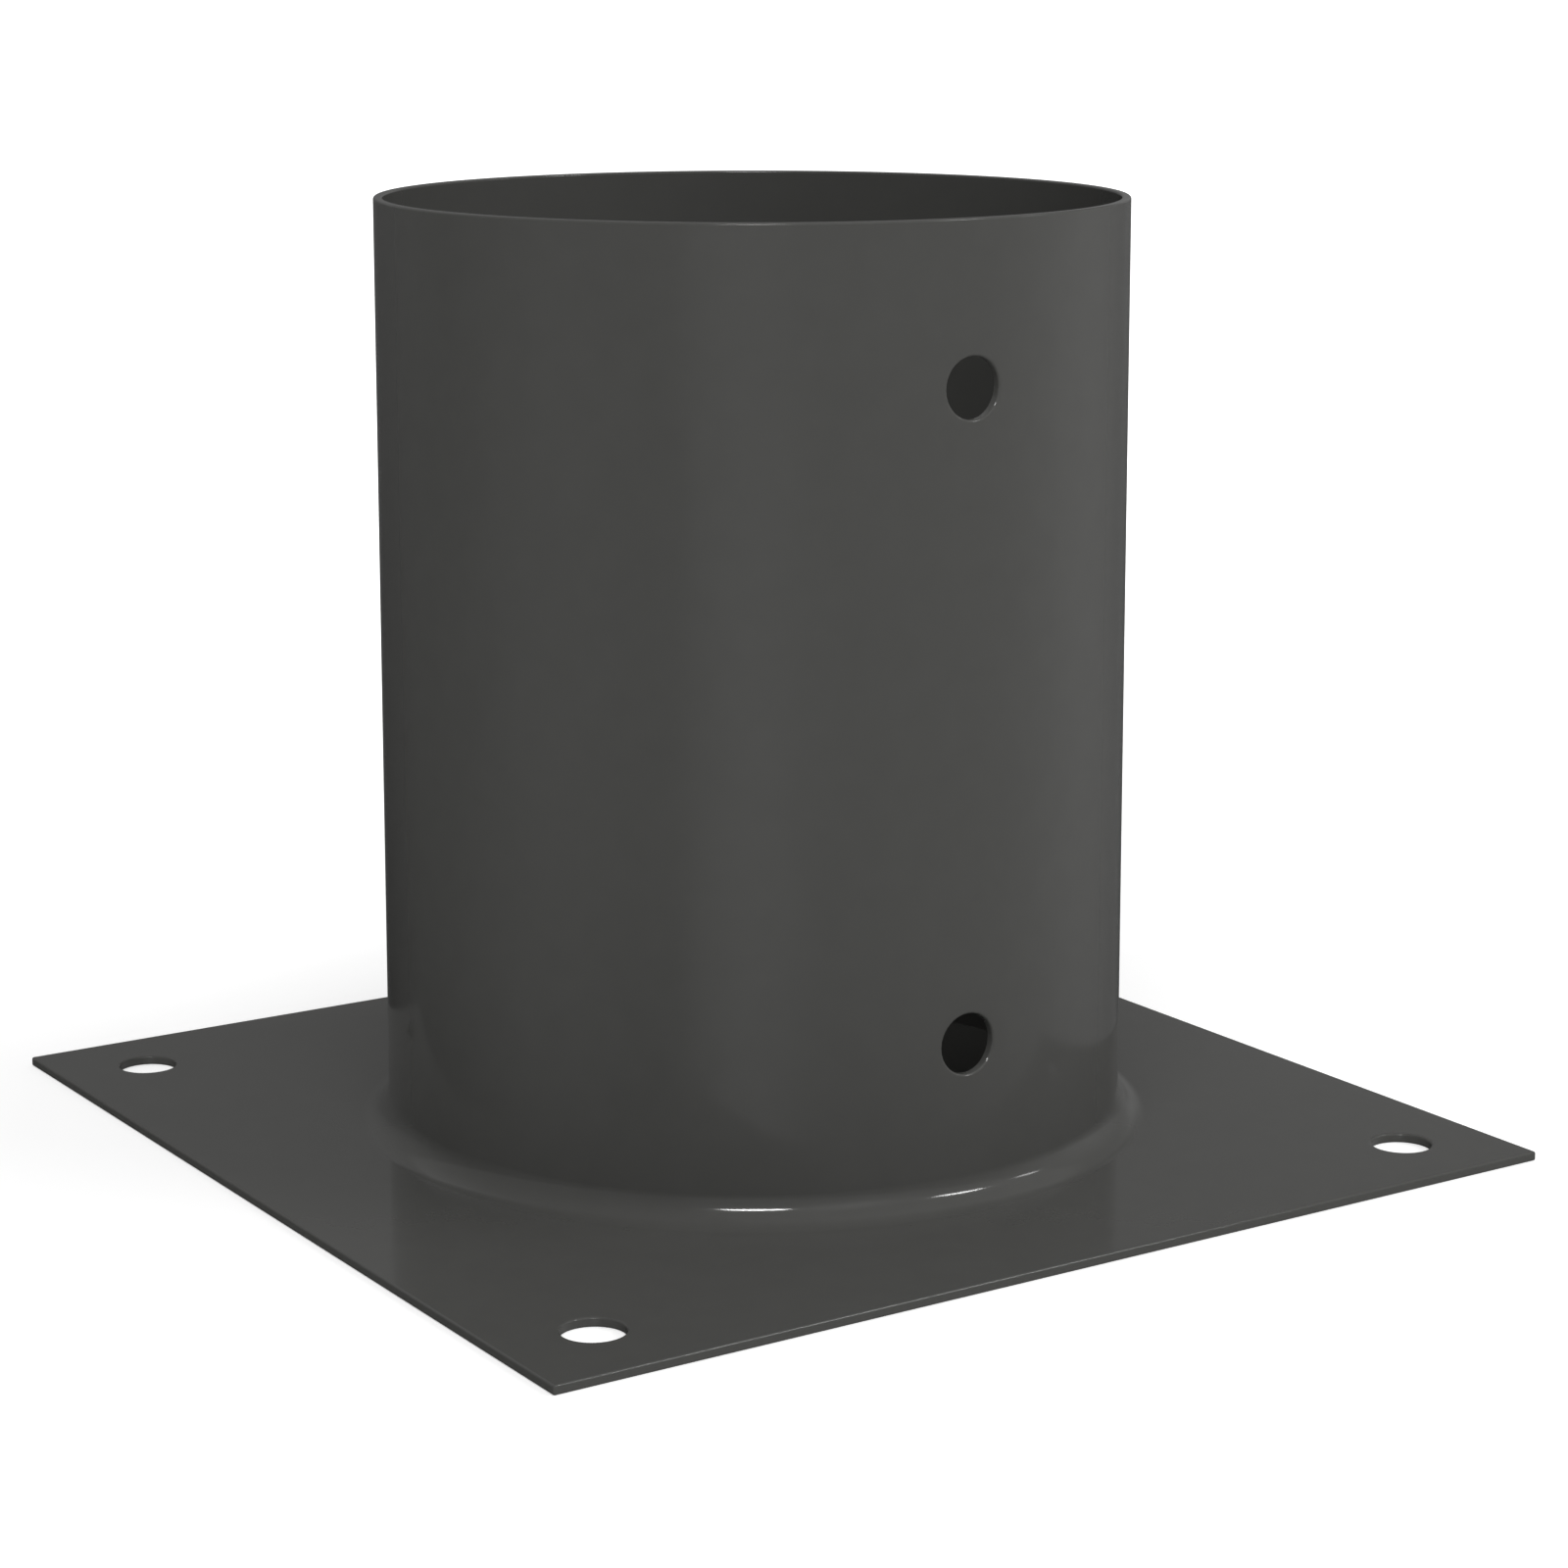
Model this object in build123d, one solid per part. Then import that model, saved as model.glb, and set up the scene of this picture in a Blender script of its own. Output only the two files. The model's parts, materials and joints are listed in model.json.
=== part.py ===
from build123d import *
import os

# Ground anchor for a round post: a square base plate, a thin-walled sleeve that stands on it, and the weld
# that runs all round the sleeve's foot. Sizes are in millimetres and +Z points up along the sleeve.
# The origin is the centre of the plate's underside. The screw holes in the sleeve run along Y.

# Base plate
plate_side = 180.0
plate_thickness = 1.5
bolt_hole = 9.5
bolt_inset = 15.0
bolts_each_way = 2

# Sleeve that takes the post
sleeve_outside = 120.0
sleeve_wall = 1.5
sleeve_height = 150.0
screw_hole = 9.5
screw_inset = 25.0

# Weld: how far it climbs the sleeve, how far it reaches out over the plate, and how deep its face is
# hollowed below a straight line from toe to toe
weld_climb = 4.5
weld_reach = 4.5
weld_hollow = 1.0

# Cut edges that stay in view are broken by a small chamfer, this wide on both faces
edge_break = 0.25

# Sizes that follow from those above
sleeve_radius = sleeve_outside / 2
bore_radius = sleeve_radius - sleeve_wall
sleeve_top = plate_thickness + sleeve_height
screw_heights = (plate_thickness + screw_inset, sleeve_top - screw_inset)
bolt_spacing = plate_side - 2 * bolt_inset

# Everything turned or drilled stands on the level that it is placed at
standing = (Align.CENTER, Align.CENTER, Align.MIN)


def base_plate():
    """Square sheet with a bolt hole near each corner. It is closed under the sleeve."""
    sheet = Box(plate_side, plate_side, plate_thickness, align=standing)
    drill = Cylinder(bolt_hole / 2, plate_thickness, align=standing)
    sheet -= GridLocations(bolt_spacing, bolt_spacing, bolts_each_way, bolts_each_way) * drill
    return chamfer(sheet.edges(), edge_break)


def screw_drill(height):
    """Round cutter along Y that goes through the front and the rear wall of the sleeve."""
    return Pos(0, 0, height) * Rot(90, 0, 0) * Cylinder(screw_hole / 2, 2 * sleeve_outside)


def post_sleeve():
    """Round tube with its foot cut square and its rim's edges broken, drilled front and rear for the post's screws."""
    outside = Cylinder(sleeve_radius, sleeve_height, align=standing)
    inside = Cylinder(bore_radius, sleeve_height, align=standing)
    tube = Pos(0, 0, plate_thickness) * (outside - inside)
    tube = chamfer(tube.edges().group_by(Axis.Z)[-1], edge_break)
    drilled = tube - [screw_drill(height) for height in screw_heights]
    hole_edges = new_edges(tube, combined=drilled).filter_by(GeomType.LINE, reverse=True)
    return chamfer(hole_edges, edge_break)


def weld_bead():
    """Ring of weld in the corner between sleeve and plate, with a hollow face between its two toes."""
    corner = (sleeve_radius, plate_thickness)
    outer_toe = (sleeve_radius + weld_reach, plate_thickness)
    upper_toe = (sleeve_radius, plate_thickness + weld_climb)
    face = SagittaArc(outer_toe, upper_toe, weld_hollow)
    section = Curve() + [Line(corner, outer_toe), face, Line(upper_toe, corner)]
    return revolve(make_face(Plane.XZ * section), Axis.Z)


os.makedirs("parts", exist_ok=True)
for piece in (base_plate, post_sleeve, weld_bead):
    export_step(piece(), f"parts/{piece.__name__}.step")
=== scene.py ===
import json
import math

import bmesh
import bpy
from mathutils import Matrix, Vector


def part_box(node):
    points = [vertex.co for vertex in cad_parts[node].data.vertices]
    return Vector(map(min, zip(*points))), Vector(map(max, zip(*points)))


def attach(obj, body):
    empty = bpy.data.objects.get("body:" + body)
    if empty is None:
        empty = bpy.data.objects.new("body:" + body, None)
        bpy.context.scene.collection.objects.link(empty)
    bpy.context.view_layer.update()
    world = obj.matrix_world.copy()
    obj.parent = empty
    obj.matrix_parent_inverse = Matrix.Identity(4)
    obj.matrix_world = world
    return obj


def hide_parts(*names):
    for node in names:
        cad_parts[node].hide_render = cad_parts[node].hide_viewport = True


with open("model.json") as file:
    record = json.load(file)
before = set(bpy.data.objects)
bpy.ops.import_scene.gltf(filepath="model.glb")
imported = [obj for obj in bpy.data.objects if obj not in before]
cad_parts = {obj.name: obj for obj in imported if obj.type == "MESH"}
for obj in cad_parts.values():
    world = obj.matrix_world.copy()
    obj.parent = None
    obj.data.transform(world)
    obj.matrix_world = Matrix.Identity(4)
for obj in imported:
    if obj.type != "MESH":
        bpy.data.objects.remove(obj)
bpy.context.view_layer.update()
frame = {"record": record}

bl_info = {
    "name": "Ground anchor",
    "version": (1, 0, 0),
    "blender": (4, 5, 0),
    "location": "3D View > Sidebar > Ground anchor",
    "description": "Models and finishes a powder-coated ground anchor for a round post",
    "category": "Object",
}

# The anchor stands on the floor at z = 0, centred on the origin, with its screw holes along Y. Everything is in
# metres. Each piece starts as the flat sheet or the plain shape that it is made from, and takes the place of the
# plainer solid of the same name.

MOUNTS = {mount["name"]: mount for mount in frame["record"]["mounts"]}
MILLIMETRE = 0.001
QUARTER_TURN = math.radians(90)
WHITE = (1, 1, 1, 1)

# An edge is sharp when its two faces stand at more than this angle to each other
SHARP_ANGLE = math.radians(50)
# Places that agree this closely are the same place
NEAR = 1e-5

# Each hole takes the place of a block of square cells, so many of them each way. Its circle has four times as many
# sides, and the faces between the circle and the block's outline are divided this often.
BOLT_CELL = 1.4 * MILLIMETRE
BOLT_CELLS = 12
SCREW_CELLS = 10
RING_CUTS = 4
# Faces across a rounded edge, and faces round the whole circle of which the weld's hollow is a quarter
EDGE_FACES = 5
WELD_CIRCLE_FACES = 128
# How far the large faces, and not the small ones beside them, set the shading at their edges, out of 100
FLAT_WEIGHT = 100

# Most of a noise lies between these two values
NOISE_LOW = 0.3
NOISE_HIGH = 0.7
# How many times a noise is laid over itself, each time finer
SOFT_DETAIL = 2.0
MOTTLE_DETAIL = 3.0


def mount_size(mount, size):
    """A size of one of the model's mounts, in metres."""
    return MOUNTS[mount]["dims"][size] * MILLIMETRE


PLATE_LOW, PLATE_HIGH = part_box("base_plate")
SLEEVE_LOW, SLEEVE_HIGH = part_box("post_sleeve")
WELD_LOW, WELD_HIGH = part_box("weld_bead")


def length(name, description, default):
    """A property that holds a length."""
    return bpy.props.FloatProperty(
        name=name,
        description=description,
        default=default,
        min=0.0001,
        max=1.0,
        precision=4,
        unit="LENGTH",
        subtype="DISTANCE",
    )


def colour(name, description, default):
    """A property that holds a colour."""
    return bpy.props.FloatVectorProperty(
        name=name,
        description=description,
        default=default,
        size=3,
        min=0.0,
        max=1.0,
        subtype="COLOR",
    )


def share(name, description, default):
    """A property that holds a plain number from 0 to 1."""
    return bpy.props.FloatProperty(name=name, description=description, default=default, min=0.0, max=1.0, precision=3)


def angle(name, description, degrees):
    """A property that holds an angle."""
    return bpy.props.FloatProperty(
        name=name,
        description=description,
        default=math.radians(degrees),
        unit="ROTATION",
        subtype="ANGLE",
    )


class AnchorSizes(bpy.types.PropertyGroup):
    """The sizes of the pieces. Those that other parts must fit come from the model."""

    plate_side: length("Plate side", "Width of the square base plate", PLATE_HIGH.x - PLATE_LOW.x)
    plate_thickness: length("Plate thickness", "Thickness of the base plate", PLATE_HIGH.z - PLATE_LOW.z)
    bolt_radius: length(
        "Bolt hole radius", "Radius of the holes in the plate", mount_size("plate_bolt_holes", "hole_r_mm")
    )
    bolt_spacing: length(
        "Bolt spacing", "Distance between neighbouring bolt holes", mount_size("plate_bolt_holes", "spacing_x_mm")
    )
    sleeve_radius: length("Sleeve radius", "Outer radius of the sleeve", SLEEVE_HIGH.x)
    sleeve_bore: length("Sleeve bore", "Inner radius of the sleeve", mount_size("post_socket", "r_mm"))
    sleeve_foot: length("Sleeve foot", "Height at which the sleeve stands on the plate", SLEEVE_LOW.z)
    sleeve_top: length("Sleeve top", "Height of the sleeve's rim", SLEEVE_HIGH.z)
    screw_radius: length(
        "Screw hole radius", "Radius of the holes in the sleeve", mount_size("front_screw_holes", "hole_r_mm")
    )
    screw_spacing: length(
        "Screw spacing", "Height between the two rows of screw holes", mount_size("front_screw_holes", "spacing_y_mm")
    )
    screw_middle: length(
        "Screw middle", "Height halfway between the screw holes", MOUNTS["front_screw_holes"]["pos_m"][2]
    )
    weld_reach: length("Weld reach", "How far the weld reaches out over the plate", WELD_HIGH.x - SLEEVE_HIGH.x)
    weld_climb: length("Weld climb", "How far the weld climbs the sleeve", WELD_HIGH.z - WELD_LOW.z)
    edge_round: length("Edge rounding", "Radius of the coat over the cut edges", 0.35 * MILLIMETRE)
    steps_round: bpy.props.IntProperty(
        name="Steps round the sleeve",
        description="Number of faces once round the sleeve, a multiple of four",
        default=256,
        min=64,
        max=512,
    )


class AnchorCoat(bpy.types.PropertyGroup):
    """The powder coat that covers the whole anchor."""

    coat_colour: colour("Coat", "Colour of the powder coat", (0.075, 0.075, 0.0713))
    coat_roughness: share("Roughness", "How far the coat scatters a reflection", 0.1)
    cloud_size: length("Cloud size", "Width of the patches that are a little smoother or duller", 14 * MILLIMETRE)
    cloud_spread: share("Cloud spread", "How far the roughness of the patches lies from the mean", 0.015)
    mottle_size: length("Mottle size", "Width of the specks where the coat lies thicker or thinner", 5 * MILLIMETRE)
    mottle_spread: share("Mottle spread", "How far the specks' shade lies from the mean", 0.02)
    coat_ior: bpy.props.FloatProperty(
        name="Index of refraction", description="How strongly the coat reflects", default=1.5, min=1.0, max=3.0
    )
    peel_size: length("Peel size", "Width of one wave of the coat's orange peel", 1.6 * MILLIMETRE)
    peel_depth: bpy.props.FloatProperty(
        name="Peel depth",
        description="Height of the waves of the coat's orange peel",
        default=1.2e-6,
        min=0.0,
        max=1e-3,
        precision=6,
        unit="LENGTH",
        subtype="DISTANCE",
    )


class AnchorStudio(bpy.types.PropertyGroup):
    """The floor, the light round the anchor and the camera."""

    floor_colour: colour("Floor", "Colour of the floor", (0.85, 0.85, 0.85))
    floor_lift: share("Floor lift", "Light added to the floor round the anchor where the camera sees it", 0.38)
    wall_light: share("Wall light", "Strength of the even light from the walls", 0.375)
    camera_place: bpy.props.FloatVectorProperty(
        name="Camera place",
        description="Where the camera stands",
        default=(-0.32989, -0.51075, 0.19344),
        size=3,
        unit="LENGTH",
        subtype="TRANSLATION",
    )
    camera_heading: angle("Camera heading", "Turn of the view from +Y towards +X", 33.331)
    camera_dip: angle("Camera dip", "How far the view looks down", 9.958)
    camera_lens: bpy.props.FloatProperty(
        name="Camera lens", description="Focal length on film 36 mm wide, in millimetres", default=87.59, min=10.0
    )
    camera_shift: bpy.props.FloatProperty(
        name="Camera shift", description="Rise or fall of the lens, as a share of the frame", default=-0.12
    )


def held(group):
    """The settings of one property group, as they stand on the scene."""
    return getattr(bpy.context.scene, group)


# Steps of modelling


def deselect_all():
    if bpy.context.object and bpy.context.object.mode != "OBJECT":
        bpy.ops.object.mode_set(mode="OBJECT")
    bpy.ops.object.select_all(action="DESELECT")


def pick(kind, wanted):
    """Selects the verts, edges or faces of the piece in hand that are wanted, and nothing else."""
    bpy.ops.mesh.select_mode(type={"verts": "VERT", "edges": "EDGE", "faces": "FACE"}[kind])
    bpy.ops.mesh.select_all(action="DESELECT")
    mesh = bmesh.from_edit_mesh(bpy.context.object.data)
    for element in getattr(mesh, kind):
        if wanted(element):
            element.select_set(True)
    mesh.select_flush_mode()
    bmesh.update_edit_mesh(bpy.context.object.data)


def middle(element):
    """The middle of an edge or a face."""
    corners = [corner.co for corner in element.verts]
    return sum(corners, Vector()) / len(corners)


def apply_modifier(kind, **settings):
    """Adds a modifier to the piece in hand and applies it."""
    modifier = bpy.context.object.modifiers.new(kind.title(), kind)
    for name, value in settings.items():
        setattr(modifier, name, value)
    bpy.ops.object.modifier_apply(modifier=modifier.name)


def cut_line(place, across):
    """Divides every face of the sheet in hand along one line."""
    bpy.ops.mesh.select_all(action="SELECT")
    bpy.ops.mesh.bisect(plane_co=place, plane_no=across)


def punch_hole(centre, radius, half_block):
    """Opens a round hole in the sheet in hand: its square block of faces goes, the block's outline is drawn in to a
    circle, and the faces between the two are divided."""

    def in_block(place, slack):
        away = place - centre
        return max(abs(away.x), abs(away.y)) < half_block + slack

    pick("faces", lambda face: in_block(middle(face), NEAR))
    bpy.ops.mesh.delete(type="FACE")
    pick("edges", lambda edge: edge.is_boundary and in_block(middle(edge), NEAR))
    bpy.ops.mesh.extrude_edges_move()
    bpy.ops.transform.tosphere(value=1.0)
    mesh = bmesh.from_edit_mesh(bpy.context.object.data)
    drawn = next((vert.co - centre).length for vert in mesh.verts if vert.select)
    bpy.ops.transform.resize(value=(radius / drawn, radius / drawn, 1), center_override=centre)
    pick("edges", lambda edge: not edge.is_boundary and in_block(middle(edge), -NEAR))
    bpy.ops.mesh.subdivide(number_cuts=RING_CUTS)


def flat_sheet(name, low, high, columns, holes, radius, cell, cells):
    """A flat sheet on the floor, from corner to corner, with round holes and quads all round them. It is cut into the
    cells of the holes' blocks along its length, and across it too where it has no columns yet."""
    deselect_all()
    bpy.ops.mesh.primitive_grid_add(x_subdivisions=columns, y_subdivisions=1, size=1)
    sheet = bpy.context.object
    sheet.name = name
    bpy.ops.object.mode_set(mode="EDIT")
    span = high - low
    bpy.ops.transform.resize(value=(span.x, span.y, 1))
    centre = (low + high) / 2
    bpy.ops.transform.translate(value=(centre.x, centre.y, 0))
    half_block = cell * cells / 2
    steps = [step * cell - half_block for step in range(cells + 1)]
    for y in sorted({hole.y for hole in holes}):
        for step in steps:
            cut_line((0, y + step, 0), (0, 1, 0))
    if columns == 1:
        for x in sorted({hole.x for hole in holes}):
            for step in steps:
                cut_line((x + step, 0, 0), (1, 0, 0))
    for hole in holes:
        punch_hole(hole, radius, half_block)
    bpy.ops.object.mode_set(mode="OBJECT")
    return sheet


def thicken(thickness):
    """Gives the sheet in hand its thickness, behind the face that shows."""
    apply_modifier("SOLIDIFY", thickness=thickness, offset=-1.0)


def round_edges(radius, wanted):
    """Rounds those sharp edges of the piece in hand that are wanted."""
    bpy.ops.object.mode_set(mode="EDIT")
    pick("edges", lambda edge: edge.calc_face_angle(0) > SHARP_ANGLE and wanted(middle(edge)))
    bpy.ops.mesh.bevel(offset=radius, segments=EDGE_FACES, affect="EDGES", clamp_overlap=False)
    bpy.ops.object.mode_set(mode="OBJECT")


def finish_piece(piece, node, coat):
    """Smooths a piece, coats it and puts it in the place of the model's node."""
    deselect_all()
    piece.select_set(True)
    bpy.context.view_layer.objects.active = piece
    bpy.ops.object.shade_smooth_by_angle(angle=SHARP_ANGLE)
    apply_modifier("WEIGHTED_NORMAL", mode="FACE_AREA", weight=FLAT_WEIGHT, keep_sharp=True)
    piece.data.materials.clear()
    piece.data.materials.append(coat)
    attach(piece, "root")
    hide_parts(node)
    piece.select_set(False)


# Materials


def add_node(tree, kind, settings=(), values=(), links=()):
    """Adds a node, sets its options and its sockets, and joins sockets to those of other nodes."""
    node = tree.nodes.new(kind)
    for name, value in dict(settings).items():
        setattr(node, name, value)
    for name, value in dict(values).items():
        node.inputs[name].default_value = value
    for name, source in dict(links).items():
        tree.links.new(source, node.inputs[name])
    return node


def empty_material(name):
    material = bpy.data.materials.get(name) or bpy.data.materials.new(name)
    material.use_nodes = True
    material.node_tree.nodes.clear()
    return material


def coat_material():
    """Semi-gloss powder coat: dark, with a faint mottle, faint patches of gloss and a faint orange peel."""
    coat = held("anchor_coat")
    name = "Anthracite coat"
    if name in bpy.data.materials:
        return bpy.data.materials[name]
    material = empty_material(name)
    tree = material.node_tree
    place = add_node(tree, "ShaderNodeTexCoord").outputs["Object"]

    def waves(size, detail):
        """Soft waves of one size all through the coat."""
        noise = add_node(
            tree, "ShaderNodeTexNoise", values={"Scale": 1 / size, "Detail": detail}, links={"Vector": place}
        )
        return noise.outputs["Fac"]

    def around(mean, spread, source):
        """Turns waves into values on both sides of a mean."""
        ends = {"From Min": NOISE_LOW, "From Max": NOISE_HIGH, "To Min": mean - spread, "To Max": mean + spread}
        return add_node(tree, "ShaderNodeMapRange", values=ends, links={"Value": source}).outputs["Result"]

    clouds = around(coat.coat_roughness, coat.cloud_spread, waves(coat.cloud_size, SOFT_DETAIL))
    mottle = add_node(
        tree,
        "ShaderNodeHueSaturation",
        values={"Color": (*coat.coat_colour, 1)},
        links={"Value": around(1.0, coat.mottle_spread, waves(coat.mottle_size, MOTTLE_DETAIL))},
    )
    relief = add_node(
        tree,
        "ShaderNodeBump",
        values={"Strength": 1.0, "Distance": coat.peel_depth},
        links={"Height": waves(coat.peel_size, SOFT_DETAIL)},
    )
    shader = add_node(
        tree,
        "ShaderNodeBsdfPrincipled",
        values={"IOR": coat.coat_ior},
        links={
            "Base Color": mottle.outputs["Color"],
            "Roughness": clouds,
            "Normal": relief.outputs["Normal"],
        },
    )
    add_node(tree, "ShaderNodeOutputMaterial", links={"Surface": shader.outputs["BSDF"]})
    return material


def seen_or_mirrored(tree):
    """A mask that is 1 for what the camera sees, straight or in a mirror or through glass."""
    path = add_node(tree, "ShaderNodeLightPath")
    mask = path.outputs["Is Camera Ray"]
    for ray in ("Is Glossy Ray", "Is Transmission Ray"):
        either = add_node(
            tree, "ShaderNodeMath", {"operation": "MAXIMUM"}, links={0: mask, 1: path.outputs[ray]}
        )
        mask = either.outputs[0]
    return mask


def floor_material():
    """A matt floor that keeps the anchor's shadow and turns white away from it."""
    studio = held("anchor_studio")
    material = empty_material("Floor")
    tree = material.node_tree
    matt = add_node(tree, "ShaderNodeBsdfDiffuse", values={"Color": (*studio.floor_colour, 1)})
    place = add_node(tree, "ShaderNodeTexCoord").outputs["Object"]
    away = add_node(tree, "ShaderNodeVectorMath", {"operation": "LENGTH"}, links={0: place})
    lift = add_node(
        tree,
        "ShaderNodeMapRange",
        values={"From Min": FLOOR_NEAR, "From Max": FLOOR_FAR, "To Min": studio.floor_lift, "To Max": 1.0},
        links={"Value": away.outputs["Value"]},
    )
    white = add_node(
        tree, "ShaderNodeMath", {"operation": "MULTIPLY"}, links={0: lift.outputs[0], 1: seen_or_mirrored(tree)}
    )
    glow = add_node(tree, "ShaderNodeEmission", links={"Strength": white.outputs[0]})
    both = add_node(tree, "ShaderNodeAddShader", links={0: matt.outputs[0], 1: glow.outputs[0]})
    add_node(tree, "ShaderNodeOutputMaterial", links={"Surface": both.outputs[0]})
    return material


def wall_material():
    """Walls that light evenly. In the coat they show as dim, with two brighter sides and a few soft glows."""
    material = empty_material("Walls")
    tree = material.node_tree
    place = add_node(tree, "ShaderNodeTexCoord").outputs["Object"]
    way = add_node(tree, "ShaderNodeVectorMath", {"operation": "NORMALIZE"}, links={0: place}).outputs["Vector"]

    def facing(turn, rise):
        """How far a place on the walls lies in the direction of a turn and a height, from -1 to 1."""
        dot = add_node(tree, "ShaderNodeVectorMath", {"operation": "DOT_PRODUCT"}, {1: way_to(turn, rise)}, {0: way})
        return dot.outputs["Value"]

    def side(turn, rise, low, high):
        """A mask of the walls' side in a direction, with a soft edge between two values of facing."""
        edge = {"From Min": low, "From Max": high}
        return add_node(tree, "ShaderNodeMapRange", values=edge, links={"Value": facing(turn, rise)}).outputs[0]

    def glow(turn, rise, tightness):
        """A mask of a soft round patch."""
        front = add_node(tree, "ShaderNodeClamp", links={"Value": facing(turn, rise)}).outputs[0]
        return add_node(tree, "ShaderNodeMath", {"operation": "POWER"}, {1: tightness}, {0: front}).outputs[0]

    masks = [(side(*place), strength) for *place, strength in BRIGHTER_SIDES]
    masks += [(glow(*place), strength) for *place, strength in GLOWS]
    mirrored = None
    for mask, strength in masks:
        links = {0: mask} if mirrored is None else {0: mask, 2: mirrored}
        more = add_node(tree, "ShaderNodeMath", {"operation": "MULTIPLY_ADD"}, {1: strength, 2: 0.0}, links)
        mirrored = more.outputs[0]
    light = add_node(
        tree,
        "ShaderNodeMix",
        values={"A": held("anchor_studio").wall_light},
        links={"Factor": add_node(tree, "ShaderNodeLightPath").outputs["Is Glossy Ray"], "B": mirrored},
    )
    shader = add_node(tree, "ShaderNodeEmission", links={"Strength": light.outputs["Result"]})
    add_node(tree, "ShaderNodeOutputMaterial", links={"Surface": shader.outputs[0]})
    material.cycles.emission_sampling = "NONE"
    return material


# Pieces


class ANCHOR_OT_base_plate(bpy.types.Operator):
    """Cuts the square plate from flat sheet, punches its bolt holes and rounds its edges"""

    bl_idname = "anchor.base_plate"
    bl_label = "Base plate"

    def execute(self, context):
        sizes = held("anchor_sizes")
        corner = Vector((sizes.plate_side / 2, sizes.plate_side / 2, 0))
        bolt = sizes.bolt_spacing / 2
        holes = [Vector((x, y, 0)) for x in (-bolt, bolt) for y in (-bolt, bolt)]
        plate = flat_sheet("coated_plate", -corner, corner, 1, holes, sizes.bolt_radius, BOLT_CELL, BOLT_CELLS)
        bpy.ops.object.mode_set(mode="EDIT")
        bpy.ops.mesh.select_all(action="SELECT")
        bpy.ops.transform.translate(value=(0, 0, sizes.plate_thickness))
        bpy.ops.object.mode_set(mode="OBJECT")
        thicken(sizes.plate_thickness)
        round_edges(sizes.edge_round, lambda place: True)
        finish_piece(plate, "base_plate", coat_material())
        return {"FINISHED"}


class ANCHOR_OT_post_sleeve(bpy.types.Operator):
    """Cuts a flat strip with the screw holes in it, rolls it up into the sleeve and rounds its edges"""

    bl_idname = "anchor.post_sleeve"
    bl_label = "Post sleeve"

    def execute(self, context):
        sizes = held("anchor_sizes")
        radius = sizes.sleeve_radius
        around = math.tau * radius
        # The strip's ends meet halfway between the front screw holes and the rear ones
        low = Vector((-around / 4, sizes.sleeve_foot, 0))
        high = Vector((3 * around / 4, sizes.sleeve_top, 0))
        rise = sizes.screw_spacing / 2
        holes = [Vector((x, sizes.screw_middle + y, 0)) for x in (0, around / 2) for y in (-rise, rise)]
        steps = sizes.steps_round
        sleeve = flat_sheet(
            "coated_sleeve", low, high, steps, holes, sizes.screw_radius, around / steps, SCREW_CELLS
        )
        bpy.ops.object.mode_set(mode="EDIT")
        bpy.ops.mesh.select_all(action="SELECT")
        bpy.ops.transform.rotate(
            value=-QUARTER_TURN, orient_axis="X", orient_type="GLOBAL", center_override=(0, 0, 0)
        )
        bpy.ops.object.mode_set(mode="OBJECT")
        thicken(radius - sizes.sleeve_bore)
        bpy.ops.object.mode_set(mode="EDIT")
        ends = (low.x, high.x)
        pick("faces", lambda face: any(abs(middle(face).x - end) < NEAR for end in ends))
        bpy.ops.mesh.delete(type="ONLY_FACE")
        bpy.ops.object.mode_set(mode="OBJECT")
        apply_modifier("SIMPLE_DEFORM", deform_method="BEND", deform_axis="Z", angle=math.tau)
        bpy.ops.object.mode_set(mode="EDIT")
        bpy.ops.mesh.select_all(action="SELECT")
        bpy.ops.transform.translate(value=(0, -radius, 0))
        bpy.ops.mesh.remove_doubles(threshold=NEAR)
        bpy.ops.object.mode_set(mode="OBJECT")
        round_edges(sizes.edge_round, lambda place: place.z > sizes.sleeve_foot + NEAR)
        finish_piece(sleeve, "post_sleeve", coat_material())
        return {"FINISHED"}


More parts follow.
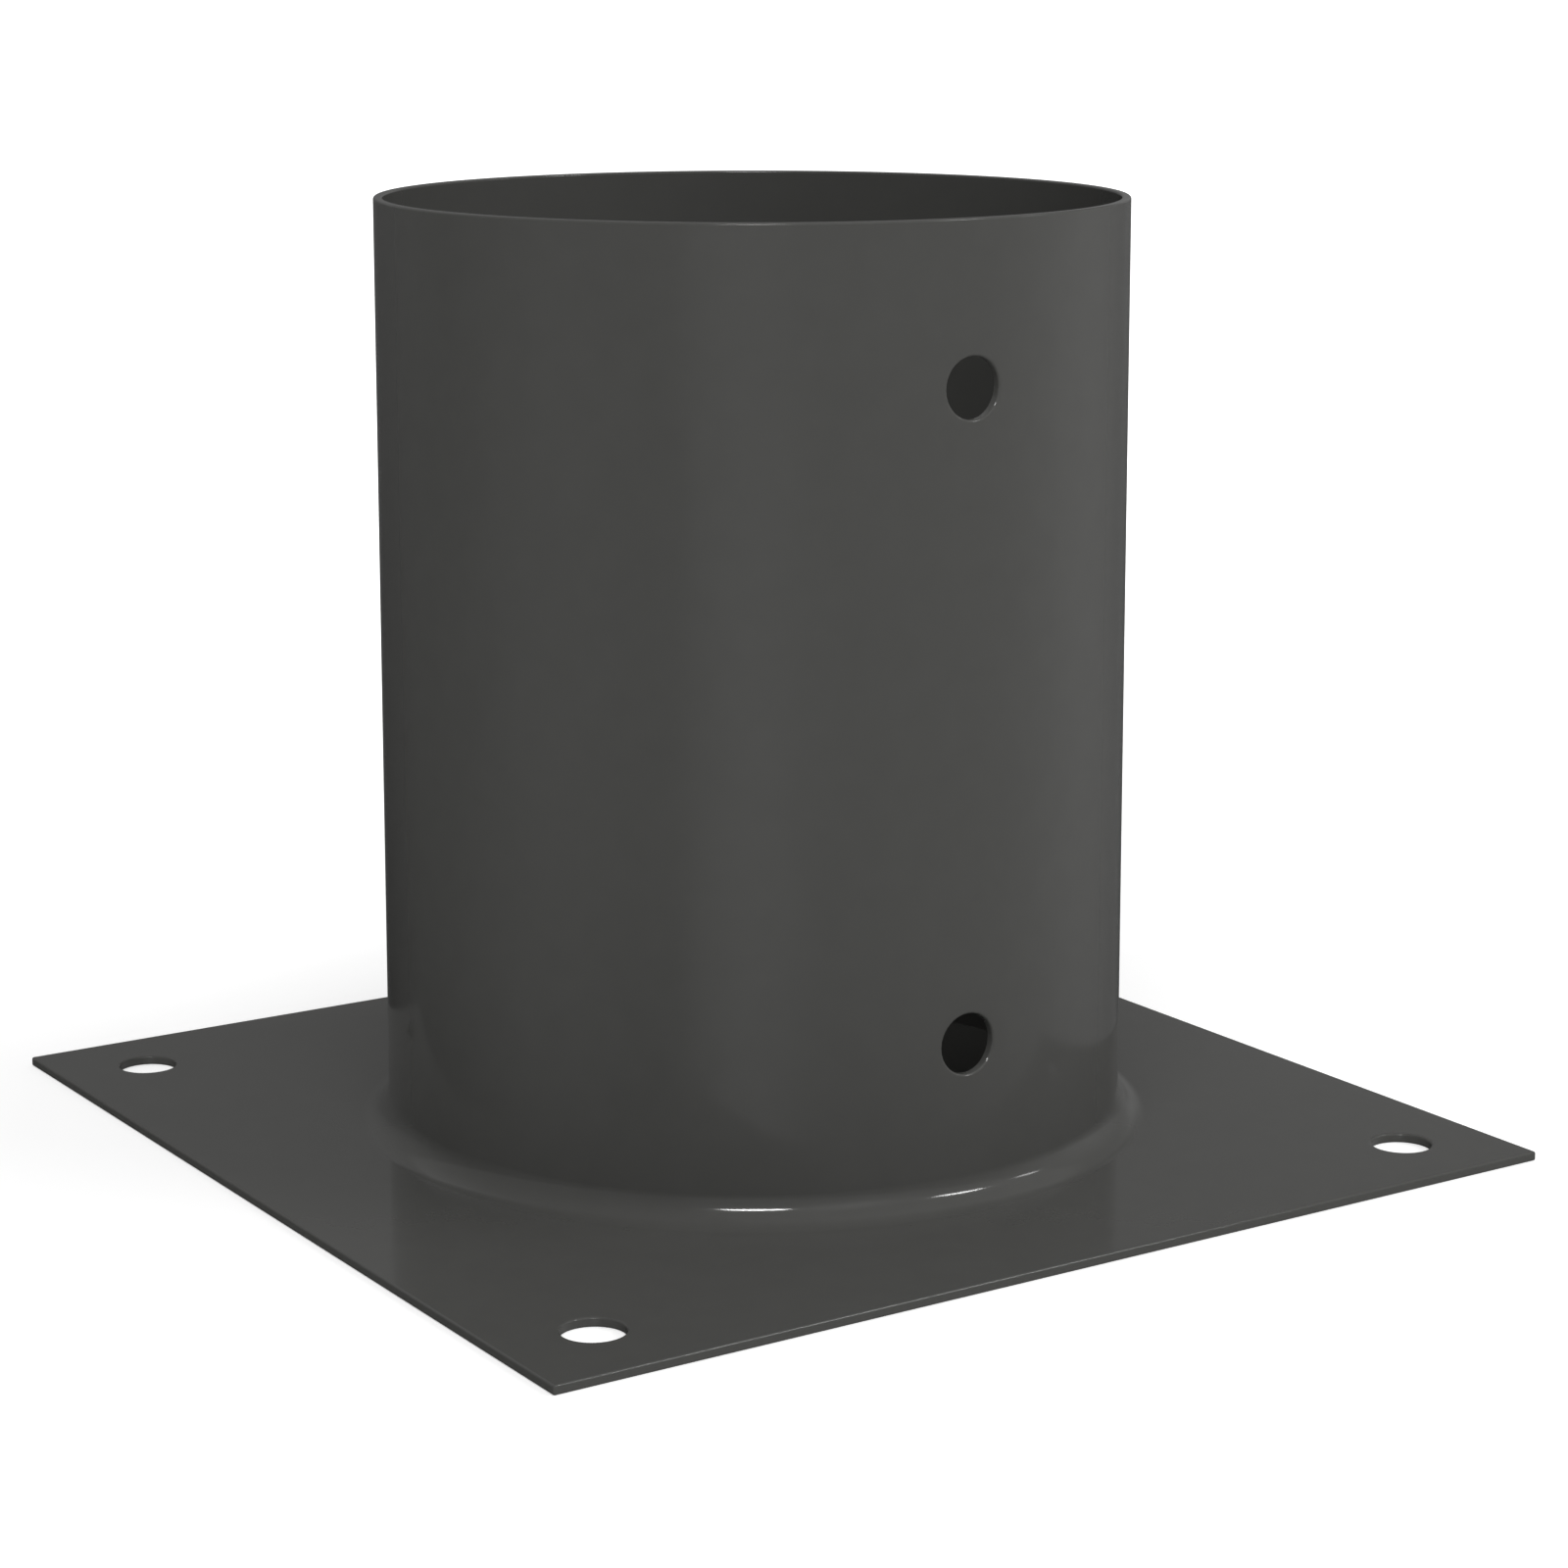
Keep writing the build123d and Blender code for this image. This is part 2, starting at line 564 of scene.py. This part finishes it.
class ANCHOR_OT_weld_bead(bpy.types.Operator):
    """Spins the weld's hollow face round the sleeve's foot and closes it against the sleeve and the plate"""

    bl_idname = "anchor.weld_bead"
    bl_label = "Weld bead"

    def execute(self, context):
        sizes = held("anchor_sizes")
        reach = sizes.weld_reach
        climb = sizes.weld_climb
        foot = Vector((sizes.sleeve_radius, 0, sizes.plate_thickness))
        hollow = foot + Vector((reach, 0, reach))
        deselect_all()
        bpy.ops.mesh.primitive_circle_add(
            vertices=WELD_CIRCLE_FACES, radius=reach, location=hollow, rotation=(QUARTER_TURN, 0, 0)
        )
        bead = bpy.context.object
        bead.name = "coated_weld"
        bpy.ops.object.transform_apply(location=True, rotation=True, scale=True)
        bpy.ops.object.mode_set(mode="EDIT")
        pick("verts", lambda vert: vert.co.x > hollow.x + NEAR or vert.co.z > hollow.z + NEAR)
        bpy.ops.mesh.delete(type="VERT")
        pick("verts", lambda vert: vert.co.z > hollow.z - NEAR)
        bpy.ops.mesh.extrude_region_move(TRANSFORM_OT_translate={"value": (0, 0, -climb)})
        bpy.ops.mesh.extrude_region_move(TRANSFORM_OT_translate={"value": (reach, 0, 0)})
        bpy.ops.mesh.select_all(action="SELECT")
        bpy.ops.mesh.remove_doubles(threshold=NEAR)
        bpy.ops.mesh.select_all(action="SELECT")
        bpy.ops.mesh.spin(steps=sizes.steps_round, angle=math.tau, center=(0, 0, 0), axis=(0, 0, 1))
        bpy.ops.mesh.select_all(action="SELECT")
        bpy.ops.mesh.remove_doubles(threshold=NEAR)
        bpy.ops.mesh.select_all(action="SELECT")
        bpy.ops.mesh.normals_make_consistent(inside=False)
        bpy.ops.object.mode_set(mode="OBJECT")
        finish_piece(bead, "weld_bead", coat_material())
        return {"FINISHED"}


# Studio


class ANCHOR_OT_studio(bpy.types.Operator):
    """Lays the floor, raises the walls, hangs the lamps and places the camera"""

    bl_idname = "anchor.studio"
    bl_label = "Studio"

    def execute(self, context):
        lay_floor()
        raise_walls()
        white_backdrop()
        hang_lamps()
        place_camera()
        context.scene.view_settings.view_transform = "Standard"
        return {"FINISHED"}


def way_to(turn, rise):
    """The direction at a turn to the right of the camera and a height above the floor, both in degrees."""
    heading = math.radians(turn) - held("anchor_studio").camera_heading
    lift = math.radians(rise)
    return Vector((math.sin(heading) * math.cos(lift), -math.cos(heading) * math.cos(lift), math.sin(lift)))


WALL_DISTANCE = 20.0
WALL_SEGMENTS = 64
WALL_RINGS = 32
FLOOR_SIDE = 3 * WALL_DISTANCE
# The floor begins to turn white at the first of these distances from the anchor, and is white at the second
FLOOR_NEAR = 0.12
FLOOR_FAR = 0.5


def lay_floor():
    """The floor, which reaches past the walls. The real coat shows nothing of it."""
    deselect_all()
    bpy.ops.mesh.primitive_plane_add(size=FLOOR_SIDE)
    floor = bpy.context.object
    floor.name = "floor"
    floor.data.materials.append(floor_material())
    floor.visible_glossy = False


# The soft glows on the walls: each one's turn to the right of the camera and its height as angles, how tight it is
# and its strength
GLOWS = (
    (0, -10, 20, 0.08),
    (0, -20, 30, 0.17),
    (300, -10, 8, 0.11),
    (112, 0, 8, 0.25),
    (240, 10, 20, 0.11),
    (180, 25, 20, 0.084),
    (210, 25, 8, 0.174),
    (165, 10, 60, 0.183),
    (178, -8, 30, 0.16),
    (33, 36, 40, 0.4),
)
# The walls' right half and their ceiling, which reaches lower in front of the anchor than behind it, are brighter:
# each one's turn and height, the two values of facing that its soft edge lies between, and its strength
BRIGHTER_SIDES = ((71, 0, -0.05, 0.05, 0.09), (-15, 70, 0.25, 0.32, 0.15))


def raise_walls():
    """Dim walls all round, which light the anchor softly and show in its coat. The camera looks through them."""
    deselect_all()
    bpy.ops.mesh.primitive_uv_sphere_add(segments=WALL_SEGMENTS, ring_count=WALL_RINGS, radius=WALL_DISTANCE)
    walls = bpy.context.object
    walls.name = "walls"
    walls.data.materials.append(wall_material())
    walls.visible_camera = False


def white_backdrop():
    """The white that the camera sees behind the walls."""
    world = bpy.context.scene.world or bpy.data.worlds.new("Backdrop")
    bpy.context.scene.world = world
    world.use_nodes = True
    tree = world.node_tree
    tree.nodes.clear()
    white = add_node(
        tree, "ShaderNodeBackground", values={"Color": WHITE}, links={"Strength": seen_or_mirrored(tree)}
    )
    add_node(tree, "ShaderNodeOutputWorld", links={"Surface": white.outputs[0]})


LAMP_DISTANCE = 3.0
# Light that has come by way of a second mirror is deeper than this
SECOND_MIRROR = 2.5
# Each lamp's turn to the right of the camera and its height as angles, then its width, its height and its power
BROAD_LAMPS = (("lamp_above", 0, 55, 2.0, 2.0, 42.0), ("lamp_beside", 85, 32, 2.0, 2.0, 32.0))
SMALL_LAMPS = (
    ("lamp_front", 1, 38, 0.92, 0.24, 24.0),
    ("lamp_right", 72, 36, 0.84, 0.2, 9.5),
    ("lamp_side", 95, 25, 0.5, 0.2, 1.4),
)


def hang_lamp(name, turn, rise, width, height, power):
    way = way_to(turn, rise)
    deselect_all()
    bpy.ops.object.light_add(type="AREA", location=way * LAMP_DISTANCE)
    lamp = bpy.context.object
    lamp.name = name
    lamp.rotation_euler = way.to_track_quat("Z", "Y").to_euler()
    lamp.data.shape = "ELLIPSE"
    lamp.data.size = width
    lamp.data.size_y = height
    lamp.data.energy = power
    lamp.visible_camera = False
    return lamp


def mirror_once(lamp):
    """Keeps a lamp's bright line on the weld from showing again in the plate, as on the real one."""
    lamp.data.cycles.max_bounces = 0
    lamp.data.use_nodes = True
    tree = lamp.data.node_tree
    tree.nodes.clear()
    depth = add_node(tree, "ShaderNodeLightPath").outputs["Ray Depth"]
    early = add_node(tree, "ShaderNodeMath", {"operation": "LESS_THAN"}, {1: SECOND_MIRROR}, {0: depth})
    shader = add_node(tree, "ShaderNodeEmission", links={"Strength": early.outputs[0]})
    add_node(tree, "ShaderNodeOutputLight", links={"Surface": shader.outputs[0]})


def hang_lamps():
    """Broad lamps light the anchor and don't show in its coat. Small ones only draw the bright lines on it."""
    for broad in BROAD_LAMPS:
        hang_lamp(*broad).visible_glossy = False
    for small in SMALL_LAMPS:
        lamp = hang_lamp(*small)
        lamp.visible_diffuse = False
        mirror_once(lamp)


# The width of the camera's film, in millimetres, and the nearest thing it can see, in metres
FILM_WIDTH = 36
NEAREST = 0.01


def place_camera():
    studio = held("anchor_studio")
    deselect_all()
    bpy.ops.object.camera_add(
        location=studio.camera_place,
        rotation=(QUARTER_TURN - studio.camera_dip, 0, -studio.camera_heading),
    )
    camera = bpy.context.object
    camera.name = "camera"
    camera.data.sensor_fit = "HORIZONTAL"
    camera.data.sensor_width = FILM_WIDTH
    camera.data.lens = studio.camera_lens
    camera.data.shift_y = studio.camera_shift
    camera.data.clip_start = NEAREST
    bpy.context.scene.camera = camera


OPERATORS = (ANCHOR_OT_base_plate, ANCHOR_OT_post_sleeve, ANCHOR_OT_weld_bead, ANCHOR_OT_studio)


class ANCHOR_PT_panel(bpy.types.Panel):
    """Lists the steps that make the ground anchor"""

    bl_idname = "ANCHOR_PT_panel"
    bl_label = "Ground anchor"
    bl_space_type = "VIEW_3D"
    bl_region_type = "UI"
    bl_category = "Ground anchor"

    def draw(self, context):
        for operator in OPERATORS:
            self.layout.operator(operator.bl_idname)


SETTINGS = {"anchor_sizes": AnchorSizes, "anchor_coat": AnchorCoat, "anchor_studio": AnchorStudio}
CLASSES = (*SETTINGS.values(), *OPERATORS, ANCHOR_PT_panel)


def register():
    for cls in CLASSES:
        bpy.utils.register_class(cls)
    for name, group in SETTINGS.items():
        setattr(bpy.types.Scene, name, bpy.props.PointerProperty(type=group))


def unregister():
    for name in SETTINGS:
        delattr(bpy.types.Scene, name)
    for cls in reversed(CLASSES):
        bpy.utils.unregister_class(cls)


def main():
    register()
    bpy.ops.anchor.base_plate()
    bpy.ops.anchor.post_sleeve()
    bpy.ops.anchor.weld_bead()
    bpy.ops.anchor.studio()


if __name__ == "__main__":
    main()
